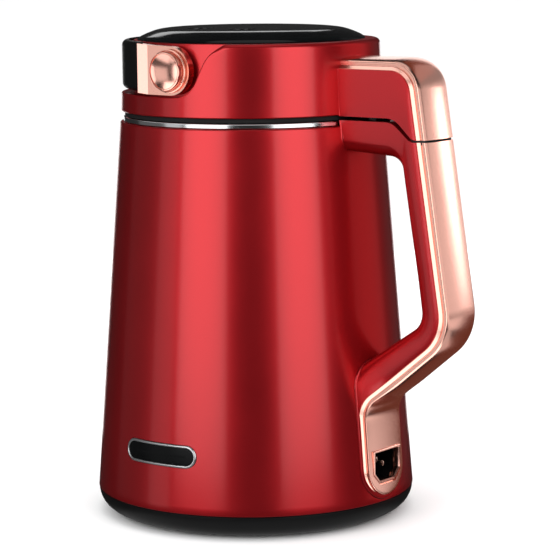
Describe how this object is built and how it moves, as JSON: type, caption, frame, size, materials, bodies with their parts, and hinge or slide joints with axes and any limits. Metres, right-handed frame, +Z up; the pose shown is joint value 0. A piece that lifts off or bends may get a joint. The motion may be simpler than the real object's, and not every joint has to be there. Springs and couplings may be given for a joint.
{
  "type": "soy milk maker",
  "caption": "Tapered heated cup with a lift-off motor head, a split D-handle with an appliance inlet at its foot, and a carry bail round the head.",
  "frame": {"origin": "middle of the footprint of the whole machine, on the surface that it stands on", "axes": "+Z up along the cup's axis, +X towards the handle, -Y towards the badge at the front"},
  "size_m": [0.257, 0.2, 0.3041],
  "materials": {
    "red_lacquer": "satin metallic red lacquer on moulded plastic",
    "rose_gold": "polished rose-gold plating",
    "gloss_black": "high-gloss black plastic",
    "satin_black": "satin black plastic",
    "rubber_black": "matt black rubber",
    "steel": "polished stainless steel",
    "zinc_steel": "zinc-plated steel",
    "cast_aluminium": "as-cast aluminium",
    "laminate": "stacked electrical steel",
    "copper": "enamelled copper wire",
    "brass": "bright brass",
    "carbon": "carbon in a moulded holder",
    "circuit_green": "circuit board with its parts",
    "nylon": "natural nylon"
  },
  "bodies": {
    "cup": {"outer_shell": "red_lacquer", "base_ring": "satin_black", "bottom_plate": "satin_black", "rubber_foot_1": "rubber_black", "rubber_foot_2": "rubber_black", "rubber_foot_3": "rubber_black", "rubber_foot_4": "rubber_black", "plate_screw_1": "zinc_steel", "plate_screw_2": "zinc_steel", "plate_screw_3": "zinc_steel", "inner_cup": "steel", "heater_plate": "cast_aluminium", "heater_tube": "zinc_steel", "thermostat": "nylon", "lower_handle": "red_lacquer", "lower_handle_trim": "rose_gold", "coupler_socket": "satin_black", "inlet_socket": "satin_black", "inlet_pin_line": "brass", "inlet_pin_earth": "brass", "inlet_pin_neutral": "brass", "badge_rim": "steel", "badge_face": "gloss_black"},
    "head": {"head_sleeve": "red_lacquer", "head_cap": "gloss_black", "head_chassis": "satin_black", "lower_cover": "steel", "seal_ring": "rubber_black", "upper_handle": "red_lacquer", "upper_handle_trim": "rose_gold", "coupler_plug": "satin_black", "motor_stator": "laminate", "field_coil_front": "copper", "field_coil_back": "copper", "lower_bearing_bracket": "cast_aluminium", "upper_bearing_bracket": "cast_aluminium", "lower_bearing": "zinc_steel", "upper_bearing": "zinc_steel", "brush_right": "carbon", "brush_left": "carbon", "control_board": "circuit_green", "power_board": "circuit_green", "shaft_seal": "rubber_black", "temperature_probe": "steel", "foam_electrode": "steel", "pivot_pin_front": "zinc_steel", "pivot_cap_front": "rose_gold", "pivot_pin_back": "zinc_steel", "pivot_cap_back": "rose_gold"},
    "key_select": {"key_select": "satin_black"},
    "key_start": {"key_start": "satin_black"},
    "bail": {"bail_arm_front": "rose_gold", "bail_arm_back": "rose_gold", "bail_grip": "satin_black"},
    "rotor": {"rotor_core": "laminate", "motor_shaft": "steel", "commutator": "copper", "motor_fan": "satin_black", "blade": "steel", "blade_nut": "steel"}
  },
  "joints": [
    {"name": "head_lift", "type": "slide", "parent": "cup", "child": "head", "axis": [0, 0, 1], "range_m": [0, 0.2]},
    {"name": "bail_swing", "type": "hinge", "parent": "head", "child": "bail", "pos_m": [-0.02848, 0, 0.2804], "axis": [0, 1, 0], "range_deg": [0, 90]},
    {"name": "blade_spin", "type": "hinge", "parent": "head", "child": "rotor", "pos_m": [-0.02848, 0, 0.254], "axis": [0, 0, 1], "continuous": true},
    {"name": "key_select_press", "type": "slide", "parent": "head", "child": "key_select", "axis": [0, 0, -1], "range_m": [0, 0.0008], "stiffness_N_per_m": 1500},
    {"name": "key_start_press", "type": "slide", "parent": "head", "child": "key_start", "axis": [0, 0, -1], "range_m": [0, 0.0008], "stiffness_N_per_m": 1500}
  ]
}
